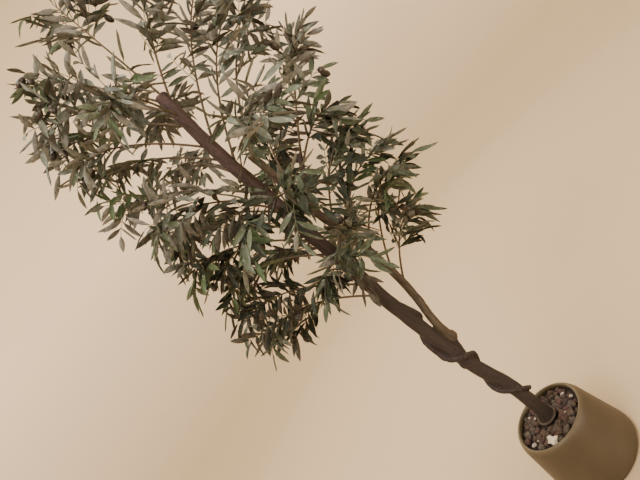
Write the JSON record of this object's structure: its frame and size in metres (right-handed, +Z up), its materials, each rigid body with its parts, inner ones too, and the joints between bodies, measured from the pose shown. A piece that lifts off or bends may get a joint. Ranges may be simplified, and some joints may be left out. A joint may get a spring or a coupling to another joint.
{
  "type": "artificial potted olive tree",
  "caption": "Tall slender artificial olive tree: wooden stems that wind round each other carry sprays of narrow leaves and olives, in a flared round pot topped with stones.",
  "frame": {"origin": "centre of the pot's flat underside, on the ground", "axes": "+Z up along the trunk, +X to the right and +Y away from a person in front of the tree"},
  "size_m": [0.8915, 0.9289, 2.1405],
  "materials": {
    "pot": "smooth khaki brown, satin",
    "filling": "rough cast cement",
    "stones": "rough porous stones",
    "bark": "dry dark brown bark",
    "foliage": "dull printed leaf fabric"
  },
  "bodies": {
    "root": {"pot": "pot", "filling": "filling", "gravel": "stones", "trunk": "bark", "limb_left": "bark", "limb_right": "bark", "limb_side": "bark", "spray_crown_tip": "foliage", "spray_crown_left": "foliage", "spray_crown_far_left": "foliage", "spray_crown_near_left": "foliage", "spray_crown_right": "foliage", "spray_crown_back": "foliage", "spray_upper_left": "foliage", "spray_upper_back": "foliage", "spray_upper_left_front": "foliage", "spray_upper_right": "foliage", "spray_upper_right_front": "foliage", "spray_upper_left_back": "foliage", "spray_middle_back": "foliage", "spray_middle_left": "foliage", "spray_middle_left_low": "foliage", "spray_middle_front": "foliage", "spray_middle_left_back": "foliage", "spray_middle_right_back": "foliage", "spray_low_left_front": "foliage", "spray_low_left": "foliage", "spray_low_front_left": "foliage", "spray_low_back": "foliage", "spray_hem_left_back": "foliage", "spray_hem_left_front": "foliage", "spray_hem_right": "foliage", "spray_hem_right_front": "foliage", "spray_hem_back": "foliage", "spray_low_right": "foliage", "spray_low_right_front": "foliage", "spray_low_front": "foliage", "spray_middle_right": "foliage", "spray_middle_front_right": "foliage", "spray_middle_right_rear": "foliage", "spray_upper_front": "foliage", "spray_high_right": "foliage", "spray_side_low": "foliage", "spray_side_high": "foliage"}
  },
  "joints": []
}
